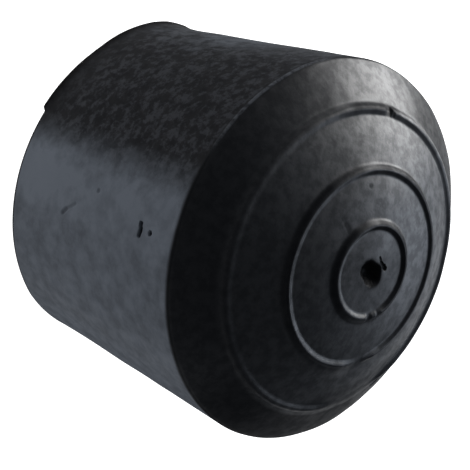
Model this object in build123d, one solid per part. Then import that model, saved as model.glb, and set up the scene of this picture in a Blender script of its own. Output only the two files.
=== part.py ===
from build123d import *
import math
import os

# Rubber end cap: one moulded piece that pushes onto the end of a tube.
# It stands on its open mouth, with the domed sole up. Lengths are in millimetres.
# The axis is Z, and the mouth lies in the plane Z = 0.

# Outer wall, which widens from the mouth to the rim of the sole
mouth_radius = 16.7
rim_radius = 20.0
wall_height = 27.1
mouth_edge_bevel = 0.5
rim_round = 0.5

# Domed sole, a cap of a sphere that starts at the rim
dome_rise = 8.5
sole_thickness = 10.6

# Raised rings on the sole: a round flank towards the rim, a straight and steep one towards the axis
shoulder_width = 4.43
ring_pitch = 5.45
smallest_ring_radius = 3.5
ring_height = 0.34
ring_inner_flank = 0.36
ring_outer_flank = 0.7

# Pit that the torn moulding sprue leaves in the middle of the sole
pit_radius = 0.95
pit_floor_radius = 0.45
pit_depth = 0.8

# Blind bore for the tube
bore_radius = 12.5
bore_corner_bevel = 1.2
bore_lead_in = 0.8

# Moulding lip, a thin band round the mouth that sits off centre and shows on one side
lip_offset = 0.75
lip_recess = 0.25
lip_height = 6.0
lip_edge_bevel = 0.35

# Bevels at the mouth take at most this share of the wall that carries them
edge_share = 0.3

total_height = wall_height + dome_rise
bore_depth = total_height - sole_thickness
dome_radius = (rim_radius ** 2 + dome_rise ** 2) / (2 * dome_rise)
dome_centre = Vector(0, total_height - dome_radius)
wall_at_mouth = mouth_radius - bore_radius


def dome_normal(radius):
    """The dome's outward direction, in its half section, at this distance from the axis."""
    slope = math.asin(radius / dome_radius)
    return Vector(math.sin(slope), math.cos(slope))


def dome_point(radius):
    """The point of the dome's half section at this distance from the axis."""
    return dome_centre + dome_normal(radius) * dome_radius


def dome_arc(outer_radius, inner_radius):
    """A stretch of the dome's half section, from the rim's side to the axis's side."""
    middle_radius = (outer_radius + inner_radius) / 2
    return ThreePointArc(dome_point(outer_radius), dome_point(middle_radius), dome_point(inner_radius))


def ring_edges(ring_radius):
    """One raised ring of the half section: its round flank up to the crest, and its steep one down."""
    normal = dome_normal(ring_radius)
    outward = Vector(normal.Y, -normal.X)
    crest = dome_point(ring_radius) + normal * ring_height
    outer_foot = dome_point(ring_radius + ring_outer_flank)
    inner_foot = dome_point(ring_radius - ring_inner_flank)
    return [
        TangentArc(crest, outer_foot, tangent=outward),
        Line(crest, inner_foot),
    ]


def ring_radii():
    """The crest radii of the rings, from the shoulder inwards."""
    largest = rim_radius - shoulder_width
    count = 1 + int((largest - smallest_ring_radius) / ring_pitch)
    return [largest - step * ring_pitch for step in range(count)]


def sole_edges():
    """The half section's edges from the rim to the axis: dome, rings and sprue pit."""
    edges = []
    reached = rim_radius
    for ring_radius in ring_radii():
        edges.append(dome_arc(reached, ring_radius + ring_outer_flank))
        edges += ring_edges(ring_radius)
        reached = ring_radius - ring_inner_flank
    edges.append(dome_arc(reached, pit_radius))
    pit_floor = total_height - pit_depth
    edges.append(Line(dome_point(pit_radius), (pit_floor_radius, pit_floor)))
    edges.append(Line((pit_floor_radius, pit_floor), (0, pit_floor)))
    return edges


def corner(section, radius, height):
    """The corner of a section that lies at this radius and height."""
    return section.vertices().sort_by_distance(Vector(radius, height))[0]


def body_section():
    """Half section of the cap: wall, rim, sole and blind bore."""
    foot = (bore_radius, 0)
    mouth = (mouth_radius, 0)
    rim = (rim_radius, wall_height)
    bore_end = (0, bore_depth)
    bore_corner = (bore_radius, bore_depth)
    outline = Curve() + [
        Line(foot, mouth),
        Line(mouth, rim),
        *sole_edges(),
        Line((0, total_height - pit_depth), bore_end),
        Line(bore_end, bore_corner),
        Line(bore_corner, foot),
    ]
    section = make_face(outline)
    section = fillet(corner(section, *rim), rim_round)
    section = chamfer(corner(section, *bore_corner), bore_corner_bevel)
    section = chamfer(corner(section, *mouth), min(mouth_edge_bevel, wall_at_mouth * edge_share))
    return chamfer(corner(section, *foot), min(bore_lead_in, wall_at_mouth * edge_share))


def lip_section():
    """Half section of the moulding lip, a plain band with a bevelled lower edge."""
    lip_radius = mouth_radius - lip_recess
    inner_radius = lip_radius - wall_at_mouth / 2
    section = make_face(Polyline(
        (inner_radius, 0),
        (lip_radius, 0),
        (lip_radius, lip_height),
        (inner_radius, lip_height),
        close=True,
    ))
    return chamfer(corner(section, lip_radius, 0), min(lip_edge_bevel, wall_at_mouth * edge_share))


def turned(section):
    """A half section, drawn with the radius across and the height up, turned about the Z axis."""
    return revolve(Plane.XZ * section, Axis.Z)


os.makedirs("parts", exist_ok=True)
cap_body = turned(body_section()) + Pos(-lip_offset, 0, 0) * turned(lip_section())
export_step(cap_body, "parts/cap_body.step")
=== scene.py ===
# %% [markdown]
# A rubber end cap, step by step
#
# The real object is one moulded piece of black rubber that pushes onto the end
# of a tube. It stands on its open mouth here, with the domed sole up. Its exact
# solid is loaded first. It fixes the size and the place of all that follows.

# %% Load the exact solid and measure it
import math
from collections import namedtuple

import bmesh
import bpy
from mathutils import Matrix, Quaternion, Vector


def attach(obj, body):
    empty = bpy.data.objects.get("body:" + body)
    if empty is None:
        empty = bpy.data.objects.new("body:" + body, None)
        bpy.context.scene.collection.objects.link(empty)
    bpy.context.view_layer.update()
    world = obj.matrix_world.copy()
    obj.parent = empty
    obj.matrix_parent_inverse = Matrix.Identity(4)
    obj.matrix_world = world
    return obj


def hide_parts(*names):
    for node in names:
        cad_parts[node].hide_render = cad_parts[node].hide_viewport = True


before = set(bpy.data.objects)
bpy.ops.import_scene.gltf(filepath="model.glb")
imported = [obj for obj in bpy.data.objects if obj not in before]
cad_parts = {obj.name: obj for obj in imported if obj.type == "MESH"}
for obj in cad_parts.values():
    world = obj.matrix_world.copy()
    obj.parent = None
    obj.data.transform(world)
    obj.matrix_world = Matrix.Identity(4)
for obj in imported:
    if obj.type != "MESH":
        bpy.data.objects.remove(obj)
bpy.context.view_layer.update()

# %% [markdown]
# The sizes below are in millimetres, and they are the ones that a maker would
# write on a drawing of the cap. One value turns them into metres, which is the
# unit of the scene.

# %% Sizes on the drawing
mm = 0.001
rim_radius = 20.0
mouth_radius = 16.7
wall_height = 27.1
dome_rise = 8.5
rim_round = 0.32
mouth_round = 0.5
bore_radius = 12.5
bore_depth = 25.0
bore_corner = 1.2
lead_in = 0.8
ring_radii = (15.57, 10.09, 4.79)
ring_height = 0.34

total_height = wall_height + dome_rise
dome_radius = (rim_radius ** 2 + dome_rise ** 2) / (2 * dome_rise)
print("height", total_height, "dome radius", round(dome_radius, 2))

# %% [markdown]
# The cap is a turned form, so its shape is one half section. It could be built
# from a cylinder that is scaled ring by ring, but a drawn section that is spun
# about the axis keeps every curve in one place. The section is kept as a list
# of points, with the distance from the axis first and the height second.


# %% Helpers that draw stretches of the section
def run(start, end, count):
    """Points on a straight line, without its start."""
    steps = range(1, count + 1)
    return [tuple(a + (b - a) * step / count for a, b in zip(start, end)) for step in steps]


def eased(start, corner, end, count):
    """Points on a soft bend round a corner, without its start."""
    points = []
    for step in range(1, count + 1):
        t = step / count
        points.append(tuple(
            (1 - t) ** 2 * a + 2 * t * (1 - t) * b + t * t * c for a, b, c in zip(start, corner, end)))
    return points


def smooth(low, high, value):
    """A soft step from 0 at low to 1 at high."""
    t = min(1.0, max(0.0, (value - low) / (high - low)))
    return t * t * (3 - 2 * t)


def dome_at(radius, lift=0.0):
    """The point of the dome at this distance from the axis, lifted off it along its normal."""
    slope = math.asin(radius / dome_radius)
    reach = dome_radius + lift
    return (math.sin(slope) * reach, total_height - dome_radius + math.cos(slope) * reach)


print("the dome meets the wall at", [round(size, 2) for size in dome_at(rim_radius)])

# %% [markdown]
# Each raised ring of the sole is a narrow bead. Its flank towards the axis is
# steep, and its flank towards the rim falls away more gently. A function of the
# distance from the crest gives that profile, so all the rings share it.

# %% The profile of a raised ring
inner_flank = 0.56
outer_flank = 0.76
crest_width = 0.1
bead_reach = 0.9
bead_step = 0.09


def bead_lift(offset):
    """Height of the bead over the dome at this distance outwards from its crest."""
    rise = smooth(-inner_flank, -crest_width / 2, offset)
    fall = 1 - smooth(crest_width / 2, outer_flank, offset)
    return ring_height * rise * fall


def bead(radius):
    """Section points across one ring, from its outer side to its inner side."""
    count = round(2 * bead_reach / bead_step)
    offsets = [bead_reach - step * bead_step for step in range(count + 1)]
    return [dome_at(radius + offset, bead_lift(offset)) for offset in offsets]


print("points across a bead:", len(bead(ring_radii[0])))

# %% [markdown]
# The section starts on the axis at the end of the bore, runs down the bore and
# out over the mouth, climbs the wall, and goes over the rim and the rings back
# to the axis. Rows of points lie close together where the shape is fine, most of
# all in the middle of the sole, where a hole is torn later.

# %% The half section of the cap
wall_lean = (rim_radius - mouth_radius) / wall_height
bore_end_rows, bore_corner_rows, bore_rows, lead_in_rows = 4, 5, 12, 3
mouth_rows, mouth_round_rows, wall_rows, rim_rows = 3, 6, 46, 6
dome_row_width = 0.42
scar_field = 2.7
field_rows, scar_rows = 5, 24


def wall_at(height):
    """The point of the outer wall at this height."""
    return (mouth_radius + wall_lean * height, height)


def sole_section():
    """The points of the half section from the rim to the axis."""
    points = []
    reached = rim_radius - rim_round
    for radius in ring_radii:
        bead_start = radius + bead_reach
        rows = max(2, round((reached - bead_start) / dome_row_width))
        points += [dome_at(reached + (bead_start - reached) * row / rows) for row in range(1, rows)]
        points += bead(radius)
        reached = radius - bead_reach
    for row in range(1, field_rows + 1):
        points.append(dome_at(reached + (scar_field - reached) * row / field_rows))
    for row in range(1, scar_rows + 1):
        points.append(dome_at(scar_field * (1 - row / scar_rows)))
    return points


def cap_section():
    """All the points of the half section, in order."""
    bore_wall_end = (bore_radius, bore_depth - bore_corner)
    points = [(0.0, bore_depth)]
    points += run(points[-1], (bore_radius - bore_corner, bore_depth), bore_end_rows)
    points += eased(points[-1], (bore_radius, bore_depth), bore_wall_end, bore_corner_rows)
    points += run(points[-1], (bore_radius, lead_in), bore_rows)
    points += run(points[-1], (bore_radius + lead_in, 0.0), lead_in_rows)
    points += run(points[-1], (mouth_radius - mouth_round, 0.0), mouth_rows)
    points += eased(points[-1], (mouth_radius, 0.0), wall_at(mouth_round), mouth_round_rows)
    points += run(points[-1], wall_at(wall_height - rim_round), wall_rows)
    points += eased(points[-1], (rim_radius, wall_height), dome_at(rim_radius - rim_round), rim_rows)
    return points + sole_section()


section = cap_section()
print("section points:", len(section))

# %% [markdown]
# In the viewport this is done with a plane whose corners are merged to a single
# point. That point is moved to the start of the section and extruded from place
# to place, and the chain is then spun through a full turn. A spin leaves a seam
# where its ends meet and piles of points on the axis. Merging by distance closes
# both, and after that the normals are turned outwards.

# %% Draw the section and spin it
turn_steps = 360
seam_gap = 0.002


def extrude_chain(points):
    """A chain of edges through the points, as one new object."""
    bpy.ops.object.select_all(action="DESELECT")
    bpy.ops.mesh.primitive_plane_add(size=mm, location=(0, 0, 0))
    bpy.ops.object.mode_set(mode="EDIT")
    bpy.ops.mesh.select_all(action="SELECT")
    bpy.ops.mesh.merge(type="CENTER")
    here = Vector((0, 0, 0))
    for number, (radius, height) in enumerate(points):
        there = Vector((radius * mm, 0, height * mm))
        if number == 0:
            bpy.ops.transform.translate(value=there - here)
        else:
            bpy.ops.mesh.extrude_vertices_move(TRANSFORM_OT_translate={"value": there - here})
        here = there
    return bpy.context.object


cap = extrude_chain(section)
cap.name = cap.data.name = "rubber_cap"
bpy.ops.mesh.select_all(action="SELECT")
bpy.ops.mesh.spin(steps=turn_steps, angle=2 * math.pi, center=(0, 0, 0), axis=(0, 0, 1))
bpy.ops.mesh.select_all(action="SELECT")
bpy.ops.mesh.remove_doubles(threshold=seam_gap * mm)
bpy.ops.mesh.normals_make_consistent(inside=False)
bpy.ops.object.mode_set(mode="OBJECT")
print("turned cap:", len(cap.data.vertices), "points,", len(cap.data.polygons), "faces")

# %% [markdown]
# The real cap carries small marks. In the wall they are two dark pits, a scratch
# and a soft pit. On the sole they are a soft pit, a dark streak, a dent outside the
# large ring, a nick in that ring and a curved crack beside the hole of the sprue.
# A material alone could draw them, but then they would not catch the light. So
# each is a line between two points of the surface, with a width and a depth, and
# a bent one has several lines.

# %% List the marks
Mark = namedtuple("Mark", "start end half_width depth dirt")


def on_wall(degrees, height):
    """A point of the outer wall at this turn about the axis."""
    turn = math.radians(degrees)
    radius = wall_at(height)[0]
    return Vector((radius * math.cos(turn), radius * math.sin(turn), height))


def on_sole(degrees, radius, lift=0.0):
    """A point of the dome, or lifted off it, at this turn about the axis."""
    turn = math.radians(degrees)
    reach, height = dome_at(radius, lift)
    return Vector((reach * math.cos(turn), reach * math.sin(turn), height))


wall_marks = [
    Mark(on_wall(-79.0, 21.48), on_wall(-77.4, 21.60), 0.22, 0.40, 1.0),
    Mark(on_wall(-77.4, 21.60), on_wall(-75.4, 21.53), 0.22, 0.40, 1.0),
    Mark(on_wall(-77.5, 23.14), on_wall(-77.2, 23.14), 0.22, 0.36, 1.0),
    Mark(on_wall(-71.7, 8.83), on_wall(-73.5, 9.38), 0.24, 0.12, 0.42),
    Mark(on_wall(-73.5, 9.38), on_wall(-76.2, 10.7), 0.2, 0.06, 0.26),
    Mark(on_wall(-83.2, 13.79), on_wall(-83.0, 13.79), 0.24, 0.1, 0.4),
]
sole_marks = [
    Mark(on_sole(-156.9, 8.68), on_sole(-156.2, 8.66), 0.34, 0.01, 0.6),
    Mark(on_sole(-122.9, 7.2), on_sole(-122.4, 6.5), 0.34, 0.008, 0.35),
    Mark(on_sole(-122.4, 6.5), on_sole(-121.2, 5.6), 0.4, 0.01, 0.55),
    Mark(on_sole(50.4, 16.6), on_sole(52.0, 16.7), 0.5, 0.16, 0.0),
    Mark(on_sole(-178.0, 15.2, 0.2), on_sole(-177.9, 15.4, 0.3), 0.24, 0.06, 0.9),
    Mark(on_sole(172.0, 1.66), on_sole(152.0, 1.42), 0.13, 0.1, 0.6),
    Mark(on_sole(152.0, 1.42), on_sole(128.0, 1.6), 0.14, 0.16, 0.8),
    Mark(on_sole(128.0, 1.6), on_sole(117.0, 1.78), 0.22, 0.2, 0.95),
]
marks = wall_marks + sole_marks
print("lines of marks:", len(wall_marks), "on the wall and", len(sole_marks), "on the sole")

# %% [markdown]
# A mark needs finer faces than the rubber round it. Dividing the whole cap would
# cost far too many faces, so only those that lie near a mark are selected and
# subdivided.

# %% Divide the faces round each mark
mark_field = 3.0
far_away = 99.0
divided_margin = 0.25
mark_cuts = 3


def distance_to(mark, point):
    """Distance in millimetres from a mark's line to a point, or a large number well away from it."""
    if abs(point.x - mark.start.x) > mark_field or abs(point.y - mark.start.y) > mark_field:
        return far_away
    along = mark.end - mark.start
    share = min(1.0, max(0.0, (point - mark.start).dot(along) / along.length_squared))
    return (mark.start + along * share - point).length


def touched(point):
    """Whether a point lies on a mark or close beside one."""
    return any(distance_to(mark, point) < mark.half_width * 2 + divided_margin for mark in marks)


bpy.ops.object.mode_set(mode="EDIT")
bpy.ops.mesh.select_mode(type="FACE")
bpy.ops.mesh.select_all(action="DESELECT")
shape = bmesh.from_edit_mesh(cap.data)
for face in shape.faces:
    if touched(face.calc_center_median() / mm):
        face.select_set(True)
bmesh.update_edit_mesh(cap.data)
bpy.ops.mesh.subdivide(number_cuts=mark_cuts)
bpy.ops.object.mode_set(mode="OBJECT")
print("after dividing:", len(cap.data.vertices), "points")

# %% [markdown]
# Weights say how far each point follows a Displace modifier, so painting weights
# by a rule is a way to sculpt that gives the same result each time. A weight has
# no sign, so points that move inwards and outwards get a layer each. The marks
# are the first to be made in this way. The moulding lip at the mouth, the worn
# rings, the torn hole of the sprue and the waviness of the rubber follow.

# %% Helpers that push points by painted weights
least_push = 1e-5
near_axis = 0.1


def radius_of(point):
    """Distance of a point from the axis."""
    return math.hypot(point.x, point.y)


def turn_of(point):
    """Turn of a point about the axis, in degrees."""
    return math.degrees(math.atan2(point.y, point.x))


def push_one_way(name, depths, direction, texture):
    """Move points by depths in millimetres that share a sign, with a Displace modifier."""
    furthest = max(depths.values(), key=abs)
    group = cap.vertex_groups.new(name=name)
    for index, depth in depths.items():
        group.add([index], depth / furthest, "REPLACE")
    bpy.ops.object.select_all(action="DESELECT")
    cap.select_set(True)
    bpy.context.view_layer.objects.active = cap
    layer = cap.modifiers.new(name, "DISPLACE")
    layer.vertex_group = name
    layer.direction = direction
    layer.mid_level = 0.0
    layer.strength = furthest * mm
    if texture:
        layer.texture = texture
        layer.texture_coords = "LOCAL"
    bpy.ops.object.modifier_apply(modifier=layer.name)
    cap.vertex_groups.clear()
    print(name, "moves", len(depths), "points by up to", round(furthest, 3), "mm")


def push(name, depth_of, direction="NORMAL", texture=None):
    """Move the points of the cap by depth_of(point) millimetres, with a layer for each sign."""
    depths = {vertex.index: depth_of(vertex.co / mm) for vertex in cap.data.vertices}
    for sign in (1, -1):
        share = {index: depth for index, depth in depths.items() if depth * sign > least_push}
        if share:
            push_one_way(name, share, direction, texture)


def push_outwards(name, reach_of):
    """Move the points of the cap away from its axis by reach_of(point) millimetres."""
    def part(point, axis):
        radius = radius_of(point)
        return reach_of(point) * point[axis] / radius if radius > near_axis else 0.0

    push(name + "_x", lambda point: part(point, 0), "X")
    push(name + "_y", lambda point: part(point, 1), "Y")


print("helpers that push points are ready")

# %% [markdown]
# Dirt gathers in the marks, and a painted shade darkens them as well. An attribute
# on the points says how much of both a point holds, and the finish reads it later.
# It is noted before the marks are pressed in, while the points still lie where the
# marks were drawn.

# %% Note the dirt and painted shade, then press the marks in
mark_floor, mark_edge = 0.35, 1.25


def inside(mark, point):
    """How far a point lies inside a mark, from 0 to 1."""
    return 1 - smooth(mark.half_width * mark_floor, mark.half_width * mark_edge, distance_to(mark, point))


def pressed(point):
    """How deep the marks go at this point."""
    return -max(mark.depth * inside(mark, point) for mark in marks)


# Dirt and painted shade: each mark is made darker than its depth alone would shade it.
held_dirt_and_shade = [max(mark.dirt * inside(mark, vertex.co / mm) for mark in marks) for vertex in cap.data.vertices]
push("marks", pressed)

# %% [markdown]
# A rubber cap is never quite round. The mouth of this one is pressed in on one
# side and wide on another, and the rim is a little full at the back. The two
# halves of its mould did not meet exactly either, and left a thin lip on one side
# of the mouth, which starts with a step. Short tables give each change at the
# mouth as a change of radius, in millimetres, at some turns about the axis.

# %% Tables of the uneven mouth
mouth_bends = (
    (-186, 0.0), (-160, 0.0), (-144, -0.2), (-130, -0.45), (-101, -0.55), (-78, -0.22),
    (-55, 0.06), (-29, 0.25), (-5, 0.0),
)
lip_edge = (
    (-187, 0.0), (-176, 0.36), (-167, 0.46), (-151, 0.28), (-135, 0.12), (-118, 0.25),
    (-103, 0.47), (-102, 0.0),
)
last_turn = 100


def look_up(table, degrees):
    """The table's value at this turn, on straight lines between its rows and zero outside them."""
    turn = degrees if degrees < last_turn else degrees - 360
    for (low, first), (high, second) in zip(table, table[1:]):
        if low <= turn <= high:
            return first + (second - first) * (turn - low) / (high - low)
    return 0.0


print("rows of the tables:", len(mouth_bends), "and", len(lip_edge))

# %% Bend the mouth and let the lip stand out
bend_height = 7.0
lip_height = 6.5
lip_thickness = 0.6
lip_step_start = 0.36
lip_swell, lip_step = 0.6, 0.4
mouth_fade = 1.5


def mouth_reach(point):
    """Change of radius near the mouth, which fades over its edge."""
    radius, degrees = radius_of(point), turn_of(point)
    if point.z > bend_height or radius < bore_radius + lead_in:
        return 0.0
    bend = look_up(mouth_bends, degrees) * (1 - smooth(0.0, bend_height, point.z))
    swell = lip_swell * (1 - smooth(0.0, lip_height, point.z)) ** 2
    step = lip_step * (1 - smooth(lip_step_start, lip_thickness, point.z))
    outside = smooth(mouth_radius - mouth_fade, mouth_radius - mouth_round / 2, radius)
    return (bend + look_up(lip_edge, degrees) * (swell + step)) * outside


push_outwards("mouth", mouth_reach)

# %% Fill the rim at the back
rim_fullness = 0.3
full_turn, full_spread = 135, 40
full_radii = (11, 19)
full_heights = (9, 25)


def rim_reach(point):
    """Change of radius of the rim at the back."""
    off_turn = turn_of(point) - full_turn
    radius = radius_of(point)
    if abs(off_turn) > full_spread or radius < full_radii[0]:
        return 0.0
    share = math.cos(math.radians(off_turn * 90 / full_spread)) ** 2
    return rim_fullness * share * smooth(*full_radii, radius) * smooth(*full_heights, point.z)


push_outwards("rim", rim_reach)

# %% [markdown]
# The large ring is rubbed down on one side and has a narrow gap. The other two
# rings have a gap each, and the one of the small ring has a low fleck left in it.
# The rings could be modelled piece by piece, but the height of a point over the
# plain dome is known, so it is easier to take a share of that height off again.

# %% Rub the rings down
large_ring_worn = (
    (-177.4, 0.0), (-176.3, 0.8), (-174.6, 0.8), (-173.3, 0.0), (-150, 0.0), (-118, 0.4), (-90, 0.5),
    (-32, 0.5), (-12, 0.2), (16, 0.2), (28, 0.93), (46, 0.93), (54, 0.2), (60, 0.0),
)
middle_ring_worn = ((15, 0.0), (27, 0.92), (31, 0.92), (40, 0.0))
small_ring_worn = (
    (20.0, 0.0), (24.0, 0.65), (27.0, 0.65), (31.0, 0.2), (36.0, 0.15), (40.0, 0.4), (46.0, 0.0),
)
worn_tables = (large_ring_worn, middle_ring_worn, small_ring_worn)
dome_centre = Vector((0, 0, total_height - dome_radius))
sole_foot = wall_height + 1
ring_field = 1.2
least_lift = 0.003


def rubbed_down(point):
    """How far the rings are lowered at this point."""
    radius = radius_of(point)
    over_centre = point - dome_centre
    lift = over_centre.length - dome_radius
    tables = [table for ring, table in zip(ring_radii, worn_tables) if abs(radius - ring) < ring_field]
    if point.z < sole_foot or lift < least_lift or not tables:
        return 0.0
    return -look_up(tables[0], turn_of(point)) * lift * over_centre.length / over_centre.z


push("rubbed_rings", rubbed_down, direction="Z")

# %% [markdown]
# On one side the two larger rings have no outer flank. The ground there runs up
# to the crest in one gentle slope, so it is raised to a line that falls from the
# crest to the plain dome.

# %% Fill the ground outside two rings
large_ring_filled = ((-34, 0.0), (-12, 1.0), (18, 1.0), (30, 0.0))
middle_ring_filled = ((-50, 0.0), (-20, 1.0), (15, 1.0), (30, 0.0))
filled_rings = (
    (ring_radii[0], large_ring_worn, large_ring_filled),
    (ring_radii[1], middle_ring_worn, middle_ring_filled),
)
fill_width = 2.6


def filled_up(point):
    """How far the ground outside the rings is raised at this point."""
    degrees = turn_of(point)
    over_centre = point - dome_centre
    for ring, worn, filled in filled_rings:
        offset = radius_of(point) - ring
        if point.z > wall_height and 0 < offset < fill_width:
            crest = ring_height * (1 - look_up(worn, degrees))
            slope = crest * (1 - smooth(-fill_width, fill_width, offset)) * 2
            missing = max(0.0, min(crest, slope) - over_centre.length + dome_radius)
            return look_up(filled, degrees) * missing * over_centre.length / over_centre.z
    return 0.0


push("filled_ground", filled_up, direction="Z")

# %% [markdown]
# The mould is filled through the middle of the sole, and the rubber tears where
# the sprue is pulled off. The hole has a ragged edge. A few sine waves round the
# axis make the edge uneven, and a cloud texture roughens the ground of the hole,
# which holds dirt and painted shade as the marks do.

# %% Shape of the torn hole
scar_radius = 1.68
scar_middle = (0.2, -0.2)
scar_stretch = 0.16
scar_turn = math.radians(70)
scar_teeth = ((0.04, 3, 0.6), (0.03, 5, 2.1))
soiled_radius = 4.2
tip_height = 1.5
outside_scar = 9.0


def scar_share(point):
    """Distance of a point from the middle of the hole, as a share of the way to its ragged edge."""
    across, along = point.x - scar_middle[0], point.y - scar_middle[1]
    radius = math.hypot(across, along)
    if point.z < total_height - tip_height or radius > soiled_radius:
        return outside_scar
    turn = math.atan2(along, across)
    edge = 1 + scar_stretch * math.cos(2 * (turn - scar_turn))
    for size, count, start in scar_teeth:
        edge += size * math.sin(count * turn + start)
    return radius / (scar_radius * edge)


print("the hole is about", 2 * scar_radius, "mm across")

# %% Note the dirt and painted shade of the hole
front_way = (0.5, -0.87)
front_darkening = 0.45


def scar_dirt_and_shade(point):
    """How much dirt and painted shade the hole holds at this point, and how much darker the ground in front
    of it is.
    """
    share = scar_share(point)
    in_front = smooth(-0.8, 1.6, front_way[0] * point.x + front_way[1] * point.y)
    in_hole = 1 - smooth(0.66, 1.28, share)
    return max(in_hole, front_darkening * in_front * (1 - smooth(0.9, 2.4, share)))


held_dirt_and_shade = [max(share, scar_dirt_and_shade(vertex.co / mm)) for share, vertex in zip(held_dirt_and_shade, cap.data.vertices)]
mark_dirt_and_shade = cap.data.attributes.new("mark_dirt_and_shade", "FLOAT", "POINT")
mark_dirt_and_shade.data.foreach_set("value", held_dirt_and_shade)
print("points that hold dirt:", sum(share > 0 for share in held_dirt_and_shade))

# %% Tear out the sprue
scar_depth = 0.85
torn_roughness = 0.25
torn_rubber = bpy.data.textures.new("torn_rubber", "CLOUDS")
torn_rubber.noise_scale = 0.6 * mm
torn_rubber.noise_depth = 2


def torn(point):
    """Depth of the hole at this point."""
    return -scar_depth * (1 - smooth(0.1, 0.9, scar_share(point)))


def ragged(point):
    """How rough the ground of the hole is at this point."""
    return -torn_roughness * (1 - smooth(0.5, 0.95, scar_share(point)))


push("sprue_hole", torn, direction="Z")
push("torn_ground", ragged, direction="Z", texture=torn_rubber)

# %% [markdown]
# No moulded wall is quite true. A broad cloud texture takes up to a tenth of a
# millimetre off the outside, which is enough to make the outline and the long
# highlights slightly uneven. It only presses inwards, so the cap stays within
# the size of its solid. The bore and the foot keep their shape.

# %% Make the surface slightly uneven
most_give = 0.12
foot_height = 1.5
sharp_angle = math.radians(50)
uneven_rubber = bpy.data.textures.new("uneven_rubber", "CLOUDS")
uneven_rubber.noise_scale = 5.0 * mm
uneven_rubber.noise_depth = 1


def wavy(point):
    """How far the surface may give way at this point."""
    outside = smooth(bore_radius + 0.5, mouth_radius, radius_of(point)) if point.z < bore_depth + 3 else 1.0
    return -most_give * outside * smooth(0.0, foot_height, point.z)


push("uneven", wavy, texture=uneven_rubber)
bpy.ops.object.shade_smooth_by_angle(angle=sharp_angle)
print("finished cap:", len(cap.data.polygons), "faces")

# %% [markdown]
# The finish is matt black rubber. Its ground is close to black, with a soft mottle
# that breaks up every highlight. A grey bloom lies on one side of the wall and
# ends in a soft edge along it: it is dust and a painted reflection of the floor.
# The rim has a painted highlight, a lighter line on one side. The flanks of the
# rings, the marks and the hole hold dirt and painted shade, and the mouth has a
# painted shade along its edge. All of this follows the object's own coordinates,
# turned into millimetres.


# %% Small helpers for the node trees
def make_tree(name):
    """A new material and its empty node tree."""
    material = bpy.data.materials.new(name)
    material.use_nodes = True
    material.node_tree.nodes.clear()
    return material, material.node_tree


def add(tree, kind, settings=None, **inputs):
    """A node with its settings and inputs; an input is a value or another node's socket."""
    node = tree.nodes.new(kind)
    for key, value in (settings or {}).items():
        setattr(node, key, value)
    for key, value in inputs.items():
        numbered = key[0] == "i" and key[1:].isdigit()
        socket = node.inputs[int(key[1:]) if numbered else key.replace("_", " ")]
        if isinstance(value, bpy.types.NodeSocket):
            tree.links.new(value, socket)
        else:
            socket.default_value = value
    return node


def sum_up(tree, operation, first, *others):
    """Arithmetic between sockets or numbers, taken in their order."""
    for other in others:
        first = add(tree, "ShaderNodeMath", {"operation": operation}, i0=first, i1=other).outputs[0]
    return first


def step_between(tree, value, low, high, start=0.0, end=1.0):
    """A soft step from start to end, while a value goes from low to high."""
    node = add(tree, "ShaderNodeMapRange", {"interpolation_type": "SMOOTHSTEP"},
               Value=value, From_Min=low, From_Max=high, To_Min=start, To_Max=end)
    return node.outputs[0]


def blend_colour(tree, share, first, second):
    """A mix of two colours."""
    node = add(tree, "ShaderNodeMix", {"data_type": "RGBA"}, i0=share, i6=first, i7=second)
    return node.outputs[2]


def on_vector(tree, operation, output, **inputs):
    """One step of arithmetic with vectors."""
    return add(tree, "ShaderNodeVectorMath", {"operation": operation}, **inputs).outputs[output]


print("node helpers are ready")

# %% [markdown]
# Most patches of the finish lie on one side of the cap or in one band of heights.
# They could be painted by hand, but rules that read the height of a point, its
# distance from the axis and the side that it faces are easier to change and stay
# sharp at any size.

# %% Where on the cap a point lies
rubber, tree = make_tree("scuffed_black_rubber")
object_place = add(tree, "ShaderNodeTexCoord").outputs["Object"]
place = on_vector(tree, "SCALE", 0, i0=object_place, Scale=1 / mm)
axes = add(tree, "ShaderNodeSeparateXYZ", None, Vector=place).outputs
height = axes["Z"]
across = add(tree, "ShaderNodeCombineXYZ", None, X=axes["X"], Y=axes["Y"]).outputs[0]
from_axis = on_vector(tree, "LENGTH", "Value", i0=across)
outward = on_vector(tree, "NORMALIZE", 0, i0=across)
print("place, height and distance from the axis are ready")


# %% Helpers for the patches of the rubber
def times(*values):
    """The product of sockets or numbers."""
    return sum_up(tree, "MULTIPLY", *values)


def plus(*values):
    """The sum of sockets or numbers."""
    return sum_up(tree, "ADD", *values)


def less(first, second):
    """The difference of two sockets or numbers."""
    return sum_up(tree, "SUBTRACT", first, second)


def largest(*values):
    """The largest of sockets or numbers."""
    return sum_up(tree, "MAXIMUM", *values)


def away_from(middle, value):
    """How far a value lies from a middle, on either side of it."""
    return add(tree, "ShaderNodeMath", {"operation": "ABSOLUTE"}, i0=less(value, middle)).outputs[0]


def facing(degrees):
    """How far a point lies towards this turn about the axis: 1 there, 0 at the sides, -1 behind."""
    way = (math.cos(math.radians(degrees)), math.sin(math.radians(degrees)), 0.0)
    return on_vector(tree, "DOT_PRODUCT", "Value", i0=outward, i1=way)


def side(degrees, edge, full, low=0.0, high=1.0):
    """A soft patch towards a turn: low up to edge and high from full on, both as facing measures."""
    return step_between(tree, facing(degrees), edge, full, low, high)


def noise(size, detail=3.0, rough=0.55):
    """Cloudy noise whose grains are about this many millimetres across."""
    node = add(tree, "ShaderNodeTexNoise", None, Vector=place, Scale=1 / size, Detail=detail, Roughness=rough)
    return node.outputs["Fac"]


print("helpers for the patches are ready")

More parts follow.
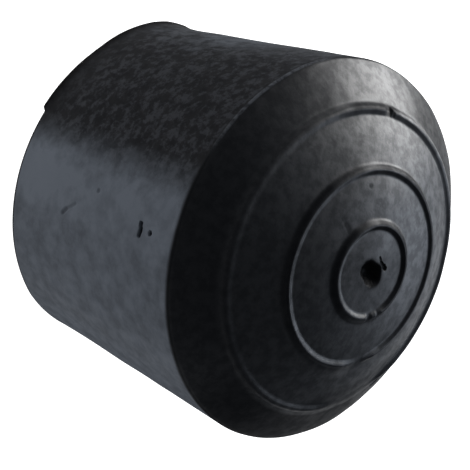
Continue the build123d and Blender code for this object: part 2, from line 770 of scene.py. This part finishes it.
# %% [markdown]
# Dust and rubbed rubber come from noises of different sizes. The grey side of
# the wall is dust and a painted reflection of the bright floor. It is found by
# comparing the direction of a point from the axis with the direction in which the
# grey lies thickest. A noise is added before the soft step, which makes its edge
# uneven. A thin patch at the back is a painted reflection as well.

# %% Noises of the rubber
fine = noise(0.2, detail=2.0)
grain = noise(0.5, detail=4.0, rough=0.6)
speckle = noise(1.0, detail=6.0, rough=0.72)
blotch = noise(1.1, detail=4.0, rough=0.62)
mottle = noise(2.2, detail=5.0, rough=0.6)
print("noises, from fine to coarse: fine, grain, speckle, blotch, mottle")

# %% Dust and painted reflection on the wall
dust_and_reflection_turn, streak_turn, back_turn = -25, -82, 180
above_the_mouth = step_between(tree, height, 0.25, 0.6)
below_the_rim = step_between(tree, height, wall_height - 0.1, wall_height - 0.7)
on_the_wall = times(above_the_mouth, below_the_rim)

uneven_facing = plus(facing(dust_and_reflection_turn), times(mottle, 0.12))
# This grey side is dust and a painted reflection of the bright floor on the wall.
dusty_reflecting_side = step_between(tree, uneven_facing, 0.265, 0.555)
streak = times(side(streak_turn, 0.97, 1.0, 0.0, 0.2), step_between(tree, height, 2.0, 15.0, 1.9, 0.8))
dust_and_reflection_strength = plus(step_between(tree, mottle, 0.25, 0.75, 0.56, 0.95), streak)

uneven_back = plus(facing(back_turn), times(mottle, 0.4))
uneven_height = plus(height, times(mottle, 14.0))
# The thin grey patch at the back is a painted grazing reflection.
back_reflection_side = step_between(tree, uneven_back, 0.96, 1.24, 0.0, 0.42)
back_start = step_between(tree, uneven_height, 6.0, 20.0)
back_end = step_between(tree, uneven_height, 21.0, 29.0, 1.0, 0.35)
dust_and_reflection_parts = largest(times(dusty_reflecting_side, dust_and_reflection_strength), times(back_reflection_side, back_start, back_end))
dust_and_reflection_amount = times(dust_and_reflection_parts, on_the_wall)
print("dust is ready")

# %% [markdown]
# The edge between the wall and the sole has a painted highlight on one side, a
# thin grey line. Such edges are often found from the angles of a mesh, but this
# one lies at a known height, so a narrow band of heights is simpler. A noise
# breaks the line up.

# %% Painted highlight on the rim
rim_highlight_turn = -133
edge_line = step_between(tree, away_from(wall_height - 0.12, height), 0.1, 0.26, 1.0, 0.0)
rim_highlight_grain = step_between(tree, grain, 0.3, 0.62, 0.2, 1.0)
# Painted highlight: a light line along the rim edge on one side.
rim_highlight = times(edge_line, side(rim_highlight_turn, 0.86, 0.97), rim_highlight_grain)
print("worn rim is ready")

# %% [markdown]
# The rings show as a light crest between dark flanks, because dirt and a painted
# shade sit beside the crest: the coat is taken off the flanks, more where they face
# away from the light. The distance from the axis tells the flanks from the crest.
# How dark and how wide this is changes round the cap, so each ring has a share for
# its inner flank, a share for its outer one and a reach, and all follow the turn.

# %% How much dirt and painted shade each ring holds
far_side = side(130, -0.1, 0.35)
far_and_near = largest(far_side, side(-95, 0.45, 0.8, 0.0, 0.5))
bare_arcs = plus(side(-146, 0.93, 0.985, 0.0, 0.3), side(10, 0.7, 0.95, 0.0, 0.2))
large_ring_share = largest(side(-45, 0.55, 0.95, 0.2, 0.45), side(-168, 0.95, 0.992, 0.0, 0.8))
small_ring_share = less(0.75, bare_arcs)
middle_ring_share = less(small_ring_share, side(80, 0.8, 0.96, 0.0, 0.25))
large_ring_reach = side(0, 0.3, 0.8, 0.6, 0.9)
middle_ring_reach = plus(side(-168, 0.94, 0.985, 0.6, 0.34), side(10, 0.7, 0.95, 0.0, 0.35))
small_ring_reach = plus(middle_ring_reach, side(-75, 0.3, 0.8, 0.0, 0.3))
ring_dirt_and_shade = (
    (ring_radii[0], far_side, large_ring_share, large_ring_reach),
    (ring_radii[1], far_and_near, middle_ring_share, middle_ring_reach),
    (ring_radii[2], far_and_near, small_ring_share, small_ring_reach),
)
print("rings that hold dirt:", len(ring_dirt_and_shade))

# %% Lay the dirt and painted shade on the flanks and in the marks
inner_middle, outer_middle = -0.25, 0.3
full_reach, inner_reach = 0.1, 0.46
inner_dirt_and_shade = 0.78


# Painted shade with dirt: the coat is taken off the ring flanks where they lie in shade.
def flank_dirt_and_shade(radius, inner_share, outer_share, outer_reach):
    """Dirt and painted shade on both flanks of one ring."""
    offset = less(from_axis, radius)
    inner = step_between(tree, away_from(inner_middle, offset), full_reach, inner_reach, inner_dirt_and_shade, 0.0)
    outer = step_between(tree, away_from(outer_middle, offset), full_reach, outer_reach, outer_share, 0.0)
    return largest(times(inner, inner_share), outer)


on_the_sole = step_between(tree, height, wall_height - 0.1, wall_height + 0.25)
in_marks = add(tree, "ShaderNodeAttribute", {"attribute_name": "mark_dirt_and_shade"}).outputs["Fac"]
on_the_rings = largest(*[flank_dirt_and_shade(*ring) for ring in ring_dirt_and_shade])
# Dirt and painted shade of the rings and the marks together.
dirt = largest(times(on_the_rings, on_the_sole), in_marks)
print("dirt is ready")

# %% [markdown]
# Handling has taken the shine off some parts of the sole: stretches of the shoulder
# outside the large ring, two edges beside it and one half of the middle. Each is a
# side of the cap within a range of distances from the axis.

# %% Parts of the sole that have lost their shine
shoulder = step_between(tree, from_axis, ring_radii[0] + 0.5, ring_radii[0] + 1.0)
upper_and_near = largest(side(92, 0.0, 0.4, 0.0, 0.6), side(-100, 0.2, 0.8, 0.0, 0.42))
dull_shoulder = times(shoulder, largest(upper_and_near, side(12, 0.6, 0.92, 0.0, 0.74)))
far_edge = times(side(97, 0.8, 0.95, 0.0, 0.45), step_between(tree, from_axis, 14.4, 15.8))
low_edge = times(side(36, 0.82, 0.97, 0.0, 0.5), step_between(tree, from_axis, 12.4, 14.4))
dull_middle = times(side(70, -0.2, 0.4, 0.0, 0.33), step_between(tree, from_axis, 4.4, 3.6))
dull_parts = largest(dull_shoulder, far_edge, low_edge, dull_middle)
print("dull parts are ready")

# %% [markdown]
# The colours are laid over each other: specks in the black ground, dust and a
# painted reflection on the wall, a painted highlight on the rim, dirt and painted
# shade in the marks, and painted shade round the mouth. Each is a mix of what lies
# below and one new colour.

# %% Colours of the rubber
black = (0.0075, 0.0080, 0.0092, 1.0)
speck_grey = (0.0235, 0.0249, 0.0287, 1.0)
# This grey is dust and a painted reflection of the floor.
dust_and_reflection_grey = (0.088, 0.099, 0.117, 1.0)
# This grey paints a highlight along the rim edge.
rim_highlight_grey = (0.062, 0.066, 0.074, 1.0)
# This black paints shade, with dirt, in the marks and the hole, and paints shade along the mouth.
pit_and_shade_black = (0.003, 0.003, 0.0035, 1.0)
speck_turn, lip_turn = -135, -145

specked_height = step_between(tree, height, 0.5, 6.0, 0.3, 1.0)
specked_side = side(speck_turn, 0.1, 0.7, 0.4, 1.0)
specks = times(step_between(tree, speckle, 0.45, 0.61), on_the_wall, specked_height, specked_side)
# Painted shade: a dark band at the foot of the lip and a dark line along the mouth where it meets the floor.
lip_foot_shade = times(side(lip_turn, 0.7, 0.85), step_between(tree, height, 0.5, 1.5, 1.0, 0.0))
mouth_edge_shade = largest(step_between(tree, height, 0.25, 0.6, 1.0, 0.0), lip_foot_shade)
ground = blend_colour(tree, specks, black, speck_grey)
dusted_and_reflecting = blend_colour(tree, dust_and_reflection_amount, ground, dust_and_reflection_grey)
with_rim_highlight = blend_colour(tree, rim_highlight, dusted_and_reflecting, rim_highlight_grey)
soiled_and_shaded = blend_colour(tree, largest(in_marks, mouth_edge_shade), with_rim_highlight, pit_and_shade_black)
print("colours are ready")

# %% [markdown]
# Colour and shine are kept apart. The ground has no shine of its own, and a coat
# over it draws the soft highlights, so a mask on the coat can dull the wall, the
# dirt and painted shade, and the rubbed parts and leave the colour as it is. A bump
# of two noises gives the skin its fine grain, which is too small for the mesh.

# %% Shine and grain of the rubber
roughness = step_between(tree, grain, 0.3, 0.7, 0.46, 0.62)
bump_height = plus(times(blotch, 0.85), times(fine, 0.15))
bump = add(tree, "ShaderNodeBump", None, Strength=0.3, Distance=0.12 * mm, Height=bump_height)
relief = bump.outputs["Normal"]
sole_gloss = step_between(tree, on_the_sole, 0.0, 1.0, 0.14, 1.0)
patches = step_between(tree, blotch, 0.34, 0.66, 0.6, 1.0)
# Dirt and painted shade take the coat off, which darkens those places.
free_of_dirt_and_shade = step_between(tree, dirt, 0.0, 1.0, 1.0, 0.16)
gloss = times(sole_gloss, patches, free_of_dirt_and_shade, less(1.0, dull_parts))
skin = add(tree, "ShaderNodeBsdfPrincipled", None, Base_Color=soiled_and_shaded, Roughness=roughness, Normal=relief,
           Coat_Weight=gloss, Coat_Normal=relief)
skin.inputs["Specular IOR Level"].default_value = 0.0
skin.inputs["Coat Roughness"].default_value = 0.45
add(tree, "ShaderNodeOutputMaterial", None, Surface=skin.outputs["BSDF"])
cap.data.materials.append(rubber)
print("finish:", rubber.name, "with", len(tree.nodes), "nodes")

# %% [markdown]
# The piece takes the place of the plain solid and moves with it. A part without
# joints has a single body.

# %% Tie the piece to its solid
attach(cap, "root")
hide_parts("cap_body")
print("the cap stands for the solid")

# %% [markdown]
# The floor is a plain pale plane that glows like a light table, brightest round
# the cap. The camera sees it evenly white, and the cap sees it fade with the
# distance, which keeps its far shoulder dark. A lit white floor would show a grey
# shadow, which the picture does not have.

# %% Floor
white = (1.0, 1.0, 1.0, 1.0)
far_glow = (0.22, 0.24, 0.27, 1.0)
floor_grey = (0.3, 0.3, 0.3, 1.0)
floor_radius, floor_corners = 3.0, 96
floor_gap = 0.03
glow_start, glow_end = 0.07, 0.21

bpy.ops.object.select_all(action="DESELECT")
bpy.ops.mesh.primitive_circle_add(
    vertices=floor_corners, radius=floor_radius, fill_type="NGON", location=(0, 0, -floor_gap * mm))
floor = bpy.context.object
floor.name = floor.data.name = "floor"
pale, floor_tree = make_tree("pale_floor")
floor_place = add(floor_tree, "ShaderNodeTexCoord").outputs["Object"]
from_middle = on_vector(floor_tree, "LENGTH", "Value", i0=floor_place)
fade = step_between(floor_tree, from_middle, glow_start, glow_end)
glow = blend_colour(floor_tree, fade, white, far_glow)
to_camera = add(floor_tree, "ShaderNodeLightPath").outputs["Is Camera Ray"]
seen_glow = blend_colour(floor_tree, to_camera, glow, white)
floor_skin = add(floor_tree, "ShaderNodeBsdfPrincipled", None, Base_Color=floor_grey, Roughness=0.9,
                 Emission_Color=seen_glow)
floor_skin.inputs["Specular IOR Level"].default_value = 0.0
floor_skin.inputs["Emission Strength"].default_value = 1.4
add(floor_tree, "ShaderNodeOutputMaterial", None, Surface=floor_skin.outputs["BSDF"])
floor.data.materials.append(pale)
print("floor is ready")

# %% [markdown]
# Two soft panels stand behind the cap: a small one draws the highlight on the sole,
# and a broad one fills in beside it. A weak one lights the sole from the side.
# Planes that glow could do the same, but area lights give less noise, and the
# camera need not see them. Each is placed by its turn about the axis and its rise
# over the floor, and faces the cap. A dim sky does the rest.

# %% Light panels
panel_aim = Vector((0, 0, 20 * mm))
neutral = (1.0, 1.0, 1.0)
cool = (0.86, 0.96, 1.12)
slightly_cool = (0.88, 0.96, 1.1)


def panel(name, turn, rise, distance, size, power, colour):
    """A square light panel at this turn about the axis and rise over the floor, aimed at the cap."""
    turn, rise = math.radians(turn), math.radians(rise)
    way = Vector((math.cos(turn) * math.cos(rise), math.sin(turn) * math.cos(rise), math.sin(rise)))
    bpy.ops.object.light_add(type="AREA", location=panel_aim + way * distance)
    light = bpy.context.object
    light.name = light.data.name = name
    light.data.shape = "SQUARE"
    light.data.size = size
    light.data.energy = power
    light.data.color = colour
    light.rotation_mode = "QUATERNION"
    light.rotation_quaternion = way.to_track_quat("Z", "Y")
    light.visible_camera = False
    print(name, "gives", power, "watts")


panel("back_panel", turn=139.5, rise=14, distance=0.35, size=0.22, power=1.92, colour=neutral)
panel("broad_panel", turn=104, rise=28, distance=0.5, size=0.36, power=0.99, colour=cool)
panel("side_panel", turn=180, rise=58, distance=0.5, size=0.3, power=0.13, colour=slightly_cool)

# %% Sky
sky_grey = (0.127, 0.136, 0.152, 1.0)
world = bpy.data.worlds.new("studio")
world.use_nodes = True
sky_tree = world.node_tree
sky_tree.nodes.clear()
sky_rays = add(sky_tree, "ShaderNodeLightPath").outputs["Is Camera Ray"]
sky_colour = blend_colour(sky_tree, sky_rays, sky_grey, white)
sky = add(sky_tree, "ShaderNodeBackground", None, Color=sky_colour)
add(sky_tree, "ShaderNodeOutputWorld", None, Surface=sky.outputs["Background"])
bpy.context.scene.world = world
bpy.context.scene.view_settings.view_transform = "Standard"
print("the sky is", sky_grey[:3], "and looks white to the camera")

# %% [markdown]
# The camera has a long lens, looks down at the sole from the front and is rolled
# to the side, as in the picture. Its distance and angles come from a fit of the
# outline.

# %% Camera
view_turn = math.radians(-0.286)
view_rise = math.radians(42.125)
view_roll = math.radians(111.274)
view_distance = 409.81 * mm
view_aim = Vector((1.486, -0.244, 16.738)) * mm
sensor_width = 36.0
lens_length = 307.3
nearest_seen = 0.01

back = Vector((
    math.sin(view_turn) * math.cos(view_rise),
    -math.cos(view_turn) * math.cos(view_rise),
    math.sin(view_rise),
))
bpy.ops.object.camera_add(location=view_aim + back * view_distance)
camera = bpy.context.object
camera.name = camera.data.name = "camera"
camera.data.sensor_width = sensor_width
camera.data.lens = lens_length
camera.data.clip_start = nearest_seen
camera.rotation_mode = "QUATERNION"
camera.rotation_quaternion = (-back).to_track_quat("-Z", "Y") @ Quaternion((0, 0, 1), view_roll)
bpy.context.scene.camera = camera
bpy.context.view_layer.update()
print("camera right and up:", [[round(v, 3) for v in camera.matrix_world.col[axis][:3]] for axis in (0, 1)])
